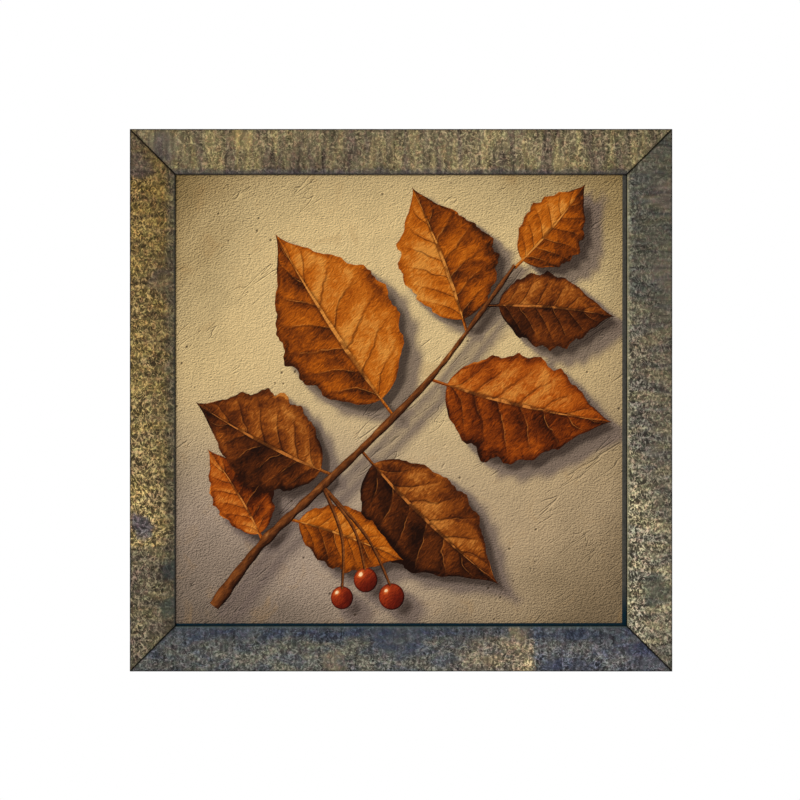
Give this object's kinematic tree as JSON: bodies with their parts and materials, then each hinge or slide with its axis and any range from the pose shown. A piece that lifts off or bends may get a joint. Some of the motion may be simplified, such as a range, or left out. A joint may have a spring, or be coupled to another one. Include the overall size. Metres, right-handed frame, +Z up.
{
  "type": "framed picture",
  "caption": "Square canvas picture in a distressed, mitred wooden frame, stretched on keyed bars and hung from a sawtooth hanger.",
  "frame": {"origin": "the middle notch of the sawtooth hanger, on the plane of the wall", "axes": "+Z up, +Y into the wall, so the picture faces -Y, and +X to the right of someone who looks at it"},
  "size_m": [0.4572, 0.0284, 0.4572],
  "materials": {
    "distressed_rail": "rubbed-through grey-brown and ochre paint over wood, satin, worn along the edges",
    "painted_canvas": "cotton canvas under textured matt paint, bare cloth on the turned edges and back",
    "pine": "planed, bare",
    "beech": "planed, bare",
    "zinc_steel": "zinc plated",
    "dark_steel": "blued",
    "brass": "brass plated",
    "rubber": "moulded, matt"
  },
  "bodies": {
    "root": {"frame_rail_top": "distressed_rail", "frame_rail_right": "distressed_rail", "frame_rail_bottom": "distressed_rail", "frame_rail_left": "distressed_rail", "v_nail_top_outer": "dark_steel", "v_nail_top_inner": "dark_steel", "v_nail_right_outer": "dark_steel", "v_nail_right_inner": "dark_steel", "v_nail_bottom_outer": "dark_steel", "v_nail_bottom_inner": "dark_steel", "v_nail_left_outer": "dark_steel", "v_nail_left_inner": "dark_steel", "stretcher_bar_top": "pine", "stretcher_bar_right": "pine", "stretcher_bar_bottom": "pine", "stretcher_bar_left": "pine", "corner_key_top_1": "beech", "corner_key_top_2": "beech", "corner_key_right_1": "beech", "corner_key_right_2": "beech", "corner_key_bottom_1": "beech", "corner_key_bottom_2": "beech", "corner_key_left_1": "beech", "corner_key_left_2": "beech", "staple_top_1": "zinc_steel", "staple_top_2": "zinc_steel", "staple_top_3": "zinc_steel", "staple_top_4": "zinc_steel", "staple_right_1": "zinc_steel", "staple_right_2": "zinc_steel", "staple_right_3": "zinc_steel", "staple_right_4": "zinc_steel", "staple_bottom_1": "zinc_steel", "staple_bottom_2": "zinc_steel", "staple_bottom_3": "zinc_steel", "staple_bottom_4": "zinc_steel", "staple_left_1": "zinc_steel", "staple_left_2": "zinc_steel", "staple_left_3": "zinc_steel", "staple_left_4": "zinc_steel", "retaining_clip_right_1": "zinc_steel", "clip_screw_right_1": "brass", "retaining_clip_right_2": "zinc_steel", "clip_screw_right_2": "brass", "retaining_clip_left_1": "zinc_steel", "clip_screw_left_1": "brass", "retaining_clip_left_2": "zinc_steel", "clip_screw_left_2": "brass", "canvas": "painted_canvas", "sawtooth_hanger": "brass", "hanger_pin_left": "brass", "wall_bumper_left": "rubber", "hanger_pin_right": "brass", "wall_bumper_right": "rubber"}
  },
  "joints": []
}
